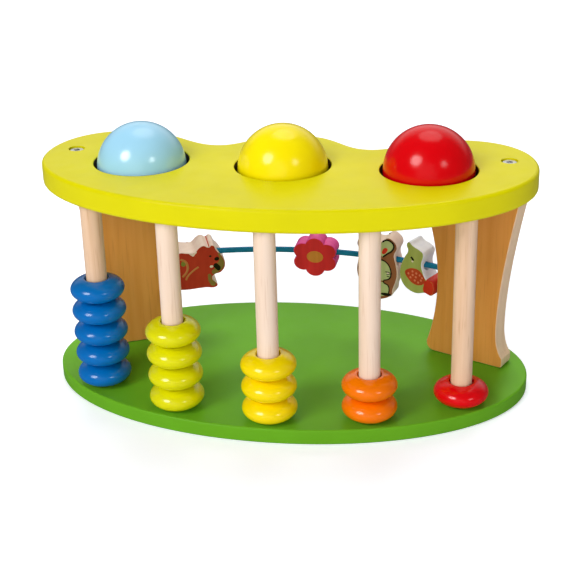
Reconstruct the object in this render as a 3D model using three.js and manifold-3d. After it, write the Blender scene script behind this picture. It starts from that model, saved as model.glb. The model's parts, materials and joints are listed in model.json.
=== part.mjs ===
// Ball pounding toy: a raised board with three balls in its holes, a stand with counting rings
// on five rods, and four wooden figures that slide along a bowed wire.
// Millimetres, +Z up, front towards -Y, origin under the middle of the base board.
import * as THREE from 'three';
import { mergeVertices } from 'three/addons/utils/BufferGeometryUtils.js';
import Module from 'manifold-3d';

const wasm = await Module();
wasm.setup();

// Clearances
const FIT = 0.3;
const BEAD_PLAY = 0.8;
const HOLE_PLAY = 1.8;
const BORE_PLAY = 0.95;
const HEAD_PLAY = 0.6;

// Base board, an ellipse
const BASE_HALF_WIDTH = 140;
const BASE_HALF_DEPTH = 82;
const BASE_THICKNESS = 9;
const BASE_ROUND = 1;

// Top board, an ellipse in front and three lobes behind
const STAND_HEIGHT = 135.4;
const TOP_THICKNESS = 13.4;
const TOP_ROUND = 2.2;
const TOP_OVERHANG = 0.7;
const TOP_SETBACK = 3.7;
const TOP_SHOULDER = 1.5;
const LOBE_REACH = 46.5;
const LOBE_INSET = 42.9;
const LOBE_FULLNESS = 25.8;
const DIP_REACH = 24.3;
const DIP_SPOT = 44.8;
const DIP_FULLNESS = 16;

// Balls, their holes and the rubber rings that grip them
const BALL_DIAMETER = 50.6;
const BALL_SPACING = 81;
const BALL_ROW = -7.8;
const RING_SECTION = 3.4;
const RING_GRIP = 0.3;
const RING_DROP = 8;
const BLUE_BALL_SINK = 1.2;
const RED_BALL_RISE = 1.6;

// Legs, two waisted panels turned towards the front
const LEG_THICKNESS = 12.4;
const LEG_INSET = 37.2;
const LEG_SHIFT = 2.3;
const LEG_CLEARANCE = 1.2;
const LEG_TOE = THREE.MathUtils.degToRad(24.2);
const LEG_FRONT_TOP = 32;
const LEG_REAR_TOP = 34.6;
const LEG_WAIST = 19.5;
const LEG_FRONT_FOOT = 24;
const LEG_REAR_FOOT = 25.9;
const LEG_FRONT_WAIST = 23;
const LEG_REAR_WAIST = 48;
const LEG_BEND = 0.35;
const LEG_CORNER = 6;
const LEG_TIP = 2;
const LEG_ROUND = 0.8;

// Rods and counting rings
const POST_DIAMETER = 11.8;
const POST_FLOOR = 3;
const POST_TOP_DEPTH = 6;
const POST_EDGE_X = 21.4;
const POST_EDGE_Y = 13.7;
const POST_INNER_SPOT = 54.4;
const POST_BEARING = THREE.MathUtils.degToRad(-53.3);
const SOCKET_WALL = 2.6;
const BEAD_DIAMETER = 30.8;
const BEAD_HEIGHT = 12.9;
const BEAD_CORE = 7.2;

// Screws that hold the boards to the legs
const SCREW_HEAD = 8.4;
const SCREW_HEAD_HEIGHT = 2.8;
const SCREW_SINK = 0.8;
const SCREW_SHANK = 4;
const SCREW_BITE = 14;
const SCREW_TIP = 3;
const SCREW_KEY = 4;
const SCREW_KEY_DEPTH = 1.6;
const SCREW_KEY_SIDES = 6;
const TOP_SCREW_SPREAD = 22.8;
const BASE_SCREW_SPREAD = 13;

// Bowed wire and the figures on it
const WIRE_DIAMETER = 3.5;
const WIRE_HEIGHT = 61.85;
const WIRE_BITE = 8;
const FIGURE_THICKNESS = 13;
const FIGURE_ROUND = 0.7;
const FIGURE_FRONT = 4.5;
const SQUIRREL_INSET = 21.7;
const SQUIRREL_TURN = THREE.MathUtils.degToRad(-4.2);
const SQUIRREL_LEAN = THREE.MathUtils.degToRad(12);
const FLOWER_INSET = 80.8;
const MONKEY_INSET = 40.9;
const BIRD_INSET = 15.4;
const BIRD_TURN = THREE.MathUtils.degToRad(8.5);
const PETAL_RING = 8.4;
const PETAL_OVERLAP = 0.41;
const PETAL_COUNT = 6;
const FLOWER_SQUASH = 0.88;
const FLOWER_DROP = 2;

// Facets
const WELD = 1e-4;
const BOARD_ROUND_STEPS = 2;
const PANEL_ROUND_STEPS = 1;
const BASE_STEPS = 36;
const TOP_STEPS = 14;
const LEG_STEPS = 7;
const FIGURE_STEPS = 3;
const ROD_FACETS = 16;
const BEAD_FACETS = 18;
const BEAD_STEPS = 6;
const BALL_FACETS = 24;
const RING_FACETS = 32;
const RING_TUBE_FACETS = 6;
const SCREW_FACETS = 12;
const WIRE_STEPS = 40;
const WIRE_FACETS = 8;

// Sizes that follow from the ones above
const BALL_RADIUS = BALL_DIAMETER / 2;
const HOLE_RADIUS = BALL_RADIUS + HOLE_PLAY;
const TOP_UNDERSIDE = STAND_HEIGHT - TOP_THICKNESS;
const TOP_HALF_WIDTH = BASE_HALF_WIDTH + TOP_OVERHANG;
const TOP_FRONT = BASE_HALF_DEPTH - TOP_SETBACK;
const RING_TUBE = RING_SECTION / 2;
const RING_RADIUS = BALL_RADIUS - RING_GRIP + RING_TUBE;
const RING_HEIGHT = STAND_HEIGHT - RING_DROP;
const GROOVE_RADIUS = RING_RADIUS + RING_TUBE + FIT;
const BALL_SEAT = BALL_RADIUS + RING_TUBE + FIT;
const BALL_HEIGHT = RING_HEIGHT + Math.sqrt(BALL_SEAT ** 2 - RING_RADIUS ** 2);
const LEG_X = TOP_HALF_WIDTH - LEG_INSET;
const LEG_BEHIND = BALL_RADIUS + LEG_CLEARANCE + LEG_THICKNESS / 2;
const LEG_BESIDE = LEG_X - LEG_SHIFT - BALL_SPACING;
const LEG_ROW = BALL_ROW + (LEG_BEHIND - LEG_BESIDE * Math.sin(LEG_TOE)) / Math.cos(LEG_TOE);
const POST_RADIUS = POST_DIAMETER / 2;
const WIRE_ENTRY_X = LEG_X - LEG_WAIST * Math.cos(LEG_TOE);
const WIRE_ENTRY_Y = LEG_ROW + LEG_WAIST * Math.sin(LEG_TOE);
const WIRE_RADIUS = WIRE_ENTRY_X / Math.sin(LEG_TOE);
const WIRE_CENTRE_Y = WIRE_ENTRY_Y - WIRE_RADIUS * Math.cos(LEG_TOE);
const FIGURE_HANG = BORE_PLAY - FIT;

// Finishes
const paint = (color) => new THREE.MeshStandardMaterial({ color, roughness: 0.3, metalness: 0 });
const PAINTS = {
  green: paint(0x78b02c),
  lime: paint(0xded820),
  paleBlue: paint(0x9bd2f0),
  yellow: paint(0xffd800),
  red: paint(0xd80f19),
  blue: paint(0x0071c8),
  orange: paint(0xf57d00),
  caramel: paint(0xb57a3e),
  russet: paint(0xa53223),
  poppy: paint(0xc82d2d),
  brown: paint(0x7a4a24),
  olive: paint(0x96a555),
  teal: paint(0x14648c),
};
const BARE_WOOD = new THREE.MeshStandardMaterial({ color: 0xeed0b2, roughness: 0.6, metalness: 0 });
const DARK_RUBBER = new THREE.MeshStandardMaterial({ color: 0x1c1c1e, roughness: 0.8, metalness: 0 });
const STEEL = new THREE.MeshStandardMaterial({ color: 0xc8c8cc, roughness: 0.3, metalness: 1 });

// Solids: a closed mesh becomes a solid, is cut, and becomes a mesh again
function solidOf(geometry) {
  const bare = geometry.clone();
  bare.deleteAttribute('normal');
  bare.deleteAttribute('uv');
  const merged = mergeVertices(bare, WELD);
  const vertProperties = new Float32Array(merged.attributes.position.array);
  const triVerts = new Uint32Array(merged.index.array);
  return new wasm.Manifold(new wasm.Mesh({ numProp: 3, vertProperties, triVerts }));
}

function geometryOf(solid) {
  const mesh = solid.getMesh();
  const geometry = new THREE.BufferGeometry();
  geometry.setAttribute('position', new THREE.BufferAttribute(mesh.vertProperties, 3));
  geometry.setIndex(new THREE.BufferAttribute(mesh.triVerts, 1));
  geometry.computeVertexNormals();
  return geometry;
}

function cut(geometry, tools) {
  const whole = tools.reduce((solid, tool) => solid.subtract(solidOf(tool)), solidOf(geometry));
  return geometryOf(whole);
}

function part(name, geometry, material) {
  const mesh = new THREE.Mesh(geometry, material);
  mesh.name = name;
  return mesh;
}

// Basic shapes, each standing on z = 0
function rod(radius, length, facets = ROD_FACETS) {
  const geometry = new THREE.CylinderGeometry(radius, radius, length, facets);
  return geometry.rotateX(Math.PI / 2).translate(0, 0, length / 2);
}

function turned(profile, facets) {
  return new THREE.LatheGeometry(profile, facets).rotateX(Math.PI / 2);
}

function slab(shape, thickness, round, roundSteps, curveSteps) {
  const geometry = new THREE.ExtrudeGeometry(shape, {
    depth: thickness - 2 * round,
    curveSegments: curveSteps,
    bevelThickness: round,
    bevelSize: round,
    bevelOffset: -round,
    bevelSegments: roundSteps,
  });
  return geometry.translate(0, 0, round);
}

// Places that several pieces share
function legSpot(side, along) {
  const x = side * (LEG_X + along * Math.cos(LEG_TOE));
  return [LEG_SHIFT + x, LEG_ROW - along * Math.sin(LEG_TOE)];
}

function postSpots() {
  const arcX = BASE_HALF_WIDTH - POST_EDGE_X;
  const arcY = BASE_HALF_DEPTH - POST_EDGE_Y;
  const innerY = -arcY * Math.sqrt(1 - (POST_INNER_SPOT / arcX) ** 2);
  const reach = GROOVE_RADIUS + SOCKET_WALL + FIT + POST_RADIUS;
  const outerX = BALL_SPACING + reach * Math.cos(POST_BEARING);
  const outerY = BALL_ROW + reach * Math.sin(POST_BEARING);
  return [
    [-outerX, outerY],
    [-POST_INNER_SPOT, innerY],
    [0, -arcY],
    [POST_INNER_SPOT, innerY],
    [outerX, outerY],
  ];
}

const BALL_SPOTS = [-BALL_SPACING, 0, BALL_SPACING];
const SIDES = [-1, 1];
const ENDS = [1, -1];

// The screws of a leg, evenly spread from the middle of the board and not of the shifted leg
function screwSpots(spread) {
  const back = LEG_SHIFT / Math.cos(LEG_TOE);
  return SIDES.flatMap((side) => ENDS.map((end) => legSpot(side, end * spread - side * back)));
}

const TOP_SCREWS = screwSpots(TOP_SCREW_SPREAD);
const BASE_SCREWS = screwSpots(BASE_SCREW_SPREAD);

// Screw with a hexagon socket, head upwards, underside of the head on z = 0
const screwLength = (board) => board - SCREW_HEAD_HEIGHT - SCREW_SINK + SCREW_BITE;

function screwGeometry(board) {
  const shank = SCREW_SHANK / 2;
  const head = SCREW_HEAD / 2;
  const length = screwLength(board);
  const profile = [
    [0, -length],
    [shank, -length + SCREW_TIP],
    [shank, 0],
    [head, 0],
    [head, SCREW_HEAD_HEIGHT],
    [0, SCREW_HEAD_HEIGHT],
  ].map(([r, z]) => new THREE.Vector2(r, z));
  const key = rod(SCREW_KEY / 2, SCREW_HEAD_HEIGHT, SCREW_KEY_SIDES);
  key.translate(0, 0, SCREW_HEAD_HEIGHT - SCREW_KEY_DEPTH);
  return cut(turned(profile, SCREW_FACETS), [key]);
}

function screwBore(board) {
  const length = screwLength(board) + FIT;
  return rod(SCREW_SHANK / 2 + FIT, length + SCREW_HEAD_HEIGHT, SCREW_FACETS).translate(0, 0, -length);
}

function screwRecess() {
  const depth = SCREW_HEAD_HEIGHT + SCREW_SINK + FIT;
  return rod(SCREW_HEAD / 2 + HEAD_PLAY, depth * 2, SCREW_FACETS).translate(0, 0, -FIT);
}

const screwSeat = {
  top: STAND_HEIGHT - SCREW_HEAD_HEIGHT - SCREW_SINK,
  base: SCREW_HEAD_HEIGHT + SCREW_SINK,
};

function screwCuts(tool) {
  const upright = () => tool(TOP_THICKNESS).translate(0, 0, screwSeat.top);
  const upturned = () => tool(BASE_THICKNESS).rotateX(Math.PI).translate(0, 0, screwSeat.base);
  const upper = TOP_SCREWS.map(([x, y]) => upright().translate(x, y, 0));
  const lower = BASE_SCREWS.map(([x, y]) => upturned().translate(x, y, 0));
  return { upper, lower };
}

const screwBores = screwCuts(screwBore);
const screwRecesses = screwCuts(screwRecess);

// Base board
function baseBoard() {
  const outline = new THREE.Shape().absellipse(0, 0, BASE_HALF_WIDTH, BASE_HALF_DEPTH, 0, 2 * Math.PI);
  const board = slab(outline, BASE_THICKNESS, BASE_ROUND, BOARD_ROUND_STEPS, BASE_STEPS);
  const socket = () => rod(POST_RADIUS + FIT, BASE_THICKNESS);
  const sockets = postSpots().map(([x, y]) => socket().translate(x, y, POST_FLOOR));
  return cut(board, [...sockets, ...screwBores.lower, ...screwRecesses.lower]);
}

// Top board
function topOutline() {
  const lobe = TOP_HALF_WIDTH - LOBE_INSET;
  const shape = new THREE.Shape();
  shape.absellipse(0, TOP_SHOULDER, TOP_HALF_WIDTH, TOP_FRONT + TOP_SHOULDER, Math.PI, 2 * Math.PI);
  const end = [TOP_HALF_WIDTH, TOP_SHOULDER + LOBE_FULLNESS];
  shape.bezierCurveTo(...end, lobe + LOBE_FULLNESS, LOBE_REACH, lobe, LOBE_REACH);
  const outer = [lobe - LOBE_FULLNESS, LOBE_REACH];
  shape.bezierCurveTo(...outer, DIP_SPOT + DIP_FULLNESS, DIP_REACH, DIP_SPOT, DIP_REACH);
  const inner = DIP_SPOT - DIP_FULLNESS;
  shape.bezierCurveTo(inner, DIP_REACH, LOBE_FULLNESS, LOBE_REACH, 0, LOBE_REACH);
  shape.bezierCurveTo(-LOBE_FULLNESS, LOBE_REACH, -inner, DIP_REACH, -DIP_SPOT, DIP_REACH);
  shape.bezierCurveTo(-DIP_SPOT - DIP_FULLNESS, DIP_REACH, -outer[0], LOBE_REACH, -lobe, LOBE_REACH);
  shape.bezierCurveTo(-lobe - LOBE_FULLNESS, LOBE_REACH, -end[0], end[1], -TOP_HALF_WIDTH, TOP_SHOULDER);
  return shape;
}

function ringGroove() {
  const half = RING_TUBE + FIT;
  const mouth = HOLE_RADIUS - RING_TUBE;
  const profile = [
    [mouth, -half],
    [GROOVE_RADIUS, -half],
    [GROOVE_RADIUS, half],
    [mouth, half],
    [mouth, -half],
  ].map(([r, z]) => new THREE.Vector2(r, z));
  return turned(profile, RING_FACETS);
}

function topBoard() {
  const board = slab(topOutline(), TOP_THICKNESS, TOP_ROUND, BOARD_ROUND_STEPS, TOP_STEPS);
  board.translate(0, 0, TOP_UNDERSIDE);
  const below = TOP_UNDERSIDE - POST_TOP_DEPTH;
  const hole = () => rod(HOLE_RADIUS, 2 * TOP_THICKNESS, RING_FACETS);
  const holes = BALL_SPOTS.map((x) => hole().translate(x, BALL_ROW, TOP_UNDERSIDE - TOP_THICKNESS / 2));
  const socket = () => rod(POST_RADIUS + FIT, 2 * POST_TOP_DEPTH);
  const sockets = postSpots().map(([x, y]) => socket().translate(x, y, below));
  const grooves = BALL_SPOTS.map((x) => ringGroove().translate(x, BALL_ROW, RING_HEIGHT));
  return cut(board, [...holes, ...grooves, ...sockets, ...screwBores.upper, ...screwRecesses.upper]);
}

// Wire, an arc that leaves each leg along the middle of its panel
class BowedWire extends THREE.Curve {
  constructor(bite) {
    super();
    this.reach = LEG_TOE + bite / WIRE_RADIUS;
  }

  getPoint(t, target = new THREE.Vector3()) {
    return wirePoint((2 * t - 1) * this.reach, target);
  }
}

function wirePoint(angle, target = new THREE.Vector3()) {
  const x = LEG_SHIFT + WIRE_RADIUS * Math.sin(angle);
  return target.set(x, WIRE_CENTRE_Y + WIRE_RADIUS * Math.cos(angle), WIRE_HEIGHT);
}

function wireTube(radius, bite) {
  const section = new THREE.Shape().absarc(0, 0, radius, 0, 2 * Math.PI);
  const extrudePath = new BowedWire(bite);
  const settings = { steps: WIRE_STEPS, curveSegments: WIRE_FACETS / 2, extrudePath };
  return new THREE.ExtrudeGeometry(section, settings);
}

// Leg panel, its outline drawn with the front edge towards +X and the foot on y = 0
function legOutline(height) {
  const front = LEG_FRONT_FOOT;
  const rear = -LEG_REAR_FOOT;
  const bend = (waistHeight) => (height - waistHeight) * LEG_BEND;
  const shape = new THREE.Shape();
  shape.moveTo(rear + LEG_CORNER, 0);
  shape.lineTo(front - LEG_TIP, 0);
  shape.quadraticCurveTo(front, 0, front, LEG_TIP);
  shape.lineTo(front, LEG_CORNER);
  shape.quadraticCurveTo(LEG_WAIST, LEG_FRONT_WAIST / 2, LEG_WAIST, LEG_FRONT_WAIST);
  shape.quadraticCurveTo(LEG_WAIST, LEG_FRONT_WAIST + bend(LEG_FRONT_WAIST), LEG_FRONT_TOP, height);
  shape.lineTo(-LEG_REAR_TOP, height);
  shape.quadraticCurveTo(-LEG_WAIST, LEG_REAR_WAIST + bend(LEG_REAR_WAIST), -LEG_WAIST, LEG_REAR_WAIST);
  shape.quadraticCurveTo(-LEG_WAIST, LEG_REAR_WAIST / 2, rear, LEG_CORNER);
  shape.quadraticCurveTo(rear, 0, rear + LEG_CORNER, 0);
  return shape;
}

function leg(side) {
  const height = TOP_UNDERSIDE - BASE_THICKNESS - 2 * FIT;
  const panel = slab(legOutline(height), LEG_THICKNESS, LEG_ROUND, PANEL_ROUND_STEPS, LEG_STEPS);
  panel.translate(0, 0, -LEG_THICKNESS / 2).rotateX(Math.PI / 2);
  panel.rotateZ(side > 0 ? -LEG_TOE : Math.PI + LEG_TOE);
  panel.translate(LEG_SHIFT + side * LEG_X, LEG_ROW, BASE_THICKNESS + FIT);
  const wireHole = wireTube(WIRE_DIAMETER / 2 + FIT, WIRE_BITE + FIT);
  return cut(panel, [wireHole, ...screwBores.upper, ...screwBores.lower]);
}

// Rod, seated in a socket in each board
function postGeometry() {
  const bottom = POST_FLOOR + FIT;
  const top = TOP_UNDERSIDE + POST_TOP_DEPTH - FIT;
  return rod(POST_RADIUS, top - bottom).translate(0, 0, bottom);
}

// Counting ring, a flattened ball with a hole, standing on z = 0
function beadGeometry() {
  const half = BEAD_HEIGHT / 2;
  const hole = POST_RADIUS + BEAD_PLAY;
  const core = BEAD_CORE / 2;
  const belly = BEAD_DIAMETER / 2 - core;
  const rim = Math.acos((hole - core) / belly);
  const profile = [];
  for (let i = 0; i <= BEAD_STEPS; i += 1) {
    const angle = rim * ((2 * i) / BEAD_STEPS - 1);
    const height = (half * Math.sin(angle)) / Math.sin(rim);
    profile.push(new THREE.Vector2(core + belly * Math.cos(angle), height));
  }
  profile.push(profile[0].clone());
  return turned(profile, BEAD_FACETS).translate(0, 0, half);
}

// Figures: outlines in millimetres, along the wire and up from it
const SQUIRREL_POINTS = [
  [17.4, -8], [15.4, -1.1], [11.7, 4], [10.3, 7], [8.5, 7.6], [7.3, 6.4], [3.8, 7.9], [1.2, 6.7],
  [-2.4, 3.2], [-6.9, 3.6], [-11, 4.2], [-15.6, 0.5], [-16.8, -9], [-15.4, -22.5], [-10.3, -23.9],
  [4.5, -23.9], [12, -24], [12.6, -22.6], [9.3, -17], [10.2, -15], [15, -13.1],
];
const MONKEY_HALF = [
  [9, -22.5], [10.4, -17.5], [12.9, -8.5], [12.2, -1.5], [11, 4.4], [12.7, 10], [10, 14.2], [6.6, 15.4],
  [3.2, 12.6],
];
const BIRD_POINTS = [
  [-4.5, 14.8], [-6.2, 12.8], [-5.2, 9], [-7.5, 4.5], [-10.5, -2.9], [-10.7, -7.5], [-8, -13.9],
  [-1.4, -17.2], [3, -17], [7.4, -15.6], [11.5, -16.4], [12.9, -15], [12.9, -8.4], [11.6, -7],
  [8.2, -6.5], [5.2, -1], [4.6, 1.6], [5.6, 9.6], [3.7, 11], [-1.5, 13],
];

function pointShape(points) {
  const loop = new THREE.CatmullRomCurve3(points.map(([u, w]) => new THREE.Vector3(u, w, 0)), true);
  const smooth = loop.getPoints(points.length * FIGURE_STEPS).slice(0, -1);
  return new THREE.Shape(smooth.map((v) => new THREE.Vector2(v.x, v.y)));
}

function mirroredShape(half) {
  const other = half.map(([u, w]) => [-u, w]).reverse();
  return pointShape([...half, ...other]);
}

function flowerShape() {
  const step = (2 * Math.PI) / PETAL_COUNT;
  const petal = PETAL_RING * Math.sin(step / 2) * (1 + PETAL_OVERLAP);
  const sweep = step / 2 + Math.acos(1 / (1 + PETAL_OVERLAP));
  const shape = new THREE.Shape();
  for (let i = 0; i < PETAL_COUNT; i += 1) {
    const angle = Math.PI / 2 + i * step;
    const x = PETAL_RING * Math.cos(angle);
    const y = PETAL_RING * Math.sin(angle);
    shape.absarc(x, y, petal, angle - sweep, angle + sweep);
  }
  return shape;
}

// Each figure hangs at a distance along the wire from one leg, at end -1 or 1
const FIGURES = [
  {
    name: 'squirrel', paint: 'russet', shape: pointShape(SQUIRREL_POINTS),
    end: -1, inset: SQUIRREL_INSET, turn: SQUIRREL_TURN, lean: SQUIRREL_LEAN,
  },
  {
    name: 'flower', paint: 'poppy', shape: flowerShape(),
    end: 1, inset: FLOWER_INSET, squash: FLOWER_SQUASH, drop: FLOWER_DROP,
  },
  { name: 'monkey', paint: 'brown', shape: mirroredShape(MONKEY_HALF), end: 1, inset: MONKEY_INSET },
  {
    name: 'bird', paint: 'olive', shape: pointShape(BIRD_POINTS),
    end: 1, inset: BIRD_INSET, turn: BIRD_TURN,
  },
];

function figure({ shape, end, inset, turn = 0, lean = 0, squash = 1, drop = 0 }) {
  const angle = end * (LEG_TOE - inset / WIRE_RADIUS);
  const plate = slab(shape, FIGURE_THICKNESS, FIGURE_ROUND, PANEL_ROUND_STEPS, FIGURE_STEPS);
  plate.scale(1, squash, 1).translate(0, -drop, FIGURE_FRONT - FIGURE_THICKNESS);
  plate.rotateX(Math.PI / 2 + lean);
  plate.rotateZ(-angle - turn);
  plate.translate(...wirePoint(angle).toArray());
  const bore = wireTube(WIRE_DIAMETER / 2 + BORE_PLAY, WIRE_BITE);
  return cut(plate, [bore]).translate(0, 0, -FIGURE_HANG);
}

// Assembly
const toy = new THREE.Group();
toy.add(part('base_board', baseBoard(), PAINTS.green));
toy.add(part('top_board', topBoard(), PAINTS.lime));
toy.add(part('leg_left', leg(-1), PAINTS.caramel));
toy.add(part('leg_right', leg(1), PAINTS.caramel));

const STACKS = [
  { colour: 'blue', count: 5, paint: PAINTS.blue },
  { colour: 'lime', count: 4, paint: PAINTS.lime },
  { colour: 'yellow', count: 3, paint: PAINTS.yellow },
  { colour: 'orange', count: 2, paint: PAINTS.orange },
  { colour: 'red', count: 1, paint: PAINTS.red },
];
const posts = postSpots();
STACKS.forEach(({ colour, count, paint: finish }, i) => {
  const stack = new THREE.Group();
  stack.position.set(posts[i][0], posts[i][1], 0);
  stack.add(part(`post_${i + 1}`, postGeometry(), BARE_WOOD));
  for (let k = 0; k < count; k += 1) {
    const bead = part(`bead_${colour}_${k + 1}`, beadGeometry(), finish);
    bead.position.z = BASE_THICKNESS + FIT + k * (BEAD_HEIGHT + FIT);
    stack.add(bead);
  }
  toy.add(stack);
});

const BALLS = [
  { colour: 'blue', finish: PAINTS.paleBlue, lift: -BLUE_BALL_SINK },
  { colour: 'yellow', finish: PAINTS.yellow, lift: 0 },
  { colour: 'red', finish: PAINTS.red, lift: RED_BALL_RISE },
];
BALLS.forEach(({ colour, finish, lift }, i) => {
  const ball = new THREE.SphereGeometry(BALL_RADIUS, BALL_FACETS, BALL_FACETS / 2).rotateX(Math.PI / 2);
  const ballPart = part(`ball_${colour}`, ball, finish);
  ballPart.position.set(BALL_SPOTS[i], BALL_ROW, BALL_HEIGHT + lift);
  const ring = new THREE.TorusGeometry(RING_RADIUS, RING_TUBE, RING_TUBE_FACETS, RING_FACETS);
  const ringPart = part(`ring_${colour}`, ring, DARK_RUBBER);
  ringPart.position.set(BALL_SPOTS[i], BALL_ROW, RING_HEIGHT);
  toy.add(ballPart, ringPart);
});

toy.add(part('wire', wireTube(WIRE_DIAMETER / 2, WIRE_BITE), PAINTS.teal));
FIGURES.forEach((spec) => toy.add(part(spec.name, figure(spec), PAINTS[spec.paint])));

TOP_SCREWS.forEach(([x, y], i) => {
  const screw = part(`screw_top_${i + 1}`, screwGeometry(TOP_THICKNESS), STEEL);
  screw.position.set(x, y, screwSeat.top);
  toy.add(screw);
});
BASE_SCREWS.forEach(([x, y], i) => {
  const screw = part(`screw_base_${i + 1}`, screwGeometry(BASE_THICKNESS), STEEL);
  screw.position.set(x, y, screwSeat.base);
  screw.rotation.x = Math.PI;
  toy.add(screw);
});

export default toy;
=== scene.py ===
# %% [markdown]
# A wooden pounding toy, dressed piece by piece. A child knocks the three balls through the holes
# of the top board, counts the rings on the rods, and slides the figures along the wire.
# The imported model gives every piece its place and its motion. This lesson makes a finer piece for
# each of them, gives it a finish, and lets it ride on the body that carries it.

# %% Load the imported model
import json
import math

import bmesh
import bpy
from mathutils import Matrix, Vector


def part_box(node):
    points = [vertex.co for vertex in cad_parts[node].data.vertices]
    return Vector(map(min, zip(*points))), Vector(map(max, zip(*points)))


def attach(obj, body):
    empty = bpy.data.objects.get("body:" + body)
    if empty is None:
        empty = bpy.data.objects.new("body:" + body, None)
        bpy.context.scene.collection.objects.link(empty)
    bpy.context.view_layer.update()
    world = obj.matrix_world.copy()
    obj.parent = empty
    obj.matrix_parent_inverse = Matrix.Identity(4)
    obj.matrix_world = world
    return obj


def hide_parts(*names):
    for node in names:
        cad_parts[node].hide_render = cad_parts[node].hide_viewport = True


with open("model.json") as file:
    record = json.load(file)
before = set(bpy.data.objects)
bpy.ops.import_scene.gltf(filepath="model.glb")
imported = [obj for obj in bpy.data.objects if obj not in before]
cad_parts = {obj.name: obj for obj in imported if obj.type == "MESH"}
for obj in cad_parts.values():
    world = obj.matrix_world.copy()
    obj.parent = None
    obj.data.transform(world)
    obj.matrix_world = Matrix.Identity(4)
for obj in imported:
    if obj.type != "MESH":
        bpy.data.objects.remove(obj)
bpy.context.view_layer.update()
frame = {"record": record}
record = frame["record"]
body_of = {node: body for body, nodes in record["behaviour"]["bodies"].items() for node in nodes}

# %% [markdown]
# A workshop drawing is in millimetres, and so is the modelling here. A piece is shaped as a bmesh,
# which is a mesh in the making. The helper below ends that: it welds the seams, turns the faces
# outwards, shrinks the shape to metres, and hands the piece to the body it rides on.
# Smooth shading is broken only at real edges, and weighted normals keep broad faces flat.

# %% From a shape in the making to a finished piece
MM = 0.001
WELD = 1e-4
EDGE_ANGLE = math.radians(35)


def box_mm(node):
    low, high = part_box(node)
    return low / MM, high / MM


def middle_of(node):
    low, high = box_mm(node)
    return (low + high) / 2


def keep_piece(name, shape, node, materials, flat_faces=True):
    bmesh.ops.remove_doubles(shape, verts=shape.verts, dist=WELD)
    bmesh.ops.recalc_face_normals(shape, faces=shape.faces)
    bmesh.ops.scale(shape, vec=(MM, MM, MM), verts=shape.verts)
    mesh = bpy.data.meshes.new(name)
    shape.to_mesh(mesh)
    shape.free()
    for material in materials:
        mesh.materials.append(material)
    mesh.shade_smooth()
    mesh.set_sharp_from_angle(angle=EDGE_ANGLE)
    piece = bpy.data.objects.new(name, mesh)
    bpy.context.scene.collection.objects.link(piece)
    if flat_faces:
        piece.modifiers.new("flat faces", "WEIGHTED_NORMAL").keep_sharp = True
    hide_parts(node)
    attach(piece, body_of[node])
    return piece


print("a millimetre is", MM, "m")

# %% [markdown]
# Paint on a wooden toy is never one flat colour. It is a little thicker here and there, the grain
# of the wood shows through as faint ridges, and a sprayed film has a fine orange peel. Each of
# these is a cloud of noise on the piece's own coordinates. Stretching the noise along one axis
# turns a cloud into grain.

# %% Colours and noise
EVEN = (1, 1, 1)


def chart(red, green, blue):
    """A colour from a paint chart, 0 to 255, in the linear light that shaders work in."""
    shares = [value / 255 for value in (red, green, blue)]
    light = [s / 12.92 if s <= 0.04045 else ((s + 0.055) / 1.055) ** 2.4 for s in shares]
    return (*light, 1.0)


def start_material(name):
    material = bpy.data.materials.new(name)
    material.use_nodes = True
    tree = material.node_tree
    return material, tree, tree.nodes["Principled BSDF"]


def cloud(tree, lumps, stretch=EVEN, detail=3.0):
    """Noise with about this many lumps to the metre, drawn out where `stretch` is small."""
    place = tree.nodes.new("ShaderNodeTexCoord")
    mapping = tree.nodes.new("ShaderNodeMapping")
    mapping.inputs["Scale"].default_value = stretch
    noise = tree.nodes.new("ShaderNodeTexNoise")
    noise.inputs["Scale"].default_value = lumps
    noise.inputs["Detail"].default_value = detail
    tree.links.new(place.outputs["Object"], mapping.inputs["Vector"])
    tree.links.new(mapping.outputs["Vector"], noise.inputs["Vector"])
    return noise.outputs["Fac"]


def spread(tree, value, low, high, start=0.3, end=0.7):
    """Stretches the middle of a noise over the range from low to high."""
    node = tree.nodes.new("ShaderNodeMapRange")
    tree.links.new(value, node.inputs["Value"])
    for name, setting in zip(("From Min", "From Max", "To Min", "To Max"), (start, end, low, high)):
        node.inputs[name].default_value = setting
    return node.outputs["Result"]


def two_tones(tree, share, first, second):
    """Goes from one colour to another as the share goes from 0 to 1."""
    mix = tree.nodes.new("ShaderNodeMix")
    mix.data_type = "RGBA"
    tree.links.new(share, mix.inputs[0])
    for socket, tone in ((mix.inputs[6], first), (mix.inputs[7], second)):
        if isinstance(tone, bpy.types.NodeSocket):
            tree.links.new(tone, socket)
        else:
            socket.default_value = tone
    return mix.outputs[2]


def relief(tree, height, depth_mm, below=None):
    """Raises and lowers the surface a little, on top of a coarser relief if there is one."""
    bump = tree.nodes.new("ShaderNodeBump")
    bump.inputs["Strength"].default_value = 1.0
    bump.inputs["Distance"].default_value = depth_mm * MM
    tree.links.new(height, bump.inputs["Height"])
    if below is not None:
        tree.links.new(below, bump.inputs["Normal"])
    return bump.outputs["Normal"]


print("paint chart white is", chart(255, 255, 255)[:3])

# %% [markdown]
# The gloss paint of the boards, balls and rings is a saturated colour under a clear, hard film. The
# film mirrors the room, weakly where it is looked at straight and strongly at a low angle, which
# gives the flat tops their pale sheen and leaves the walls their deep colour. Boards are rolled and
# a little dull. Balls and rings are tumbled in their paint, which leaves a harder gloss.

# %% Gloss paint
FILM_LUMPS = 45
THIN_FILM, THICK_FILM = 0.96, 1.02
HANDLING_LUMPS = 120
HANDLED = 1.3
ALONG_X = (0.12, 1, 1)
RIDGE_LUMPS, RIDGE_DEPTH = 520, 0.005
PEEL_LUMPS, PEEL_DEPTH = 700, 0.003


def shaded(colour, factor):
    """The same colour, lighter or darker."""
    return tuple(min(1, share * factor) for share in colour[:3]) + (1.0,)


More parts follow.
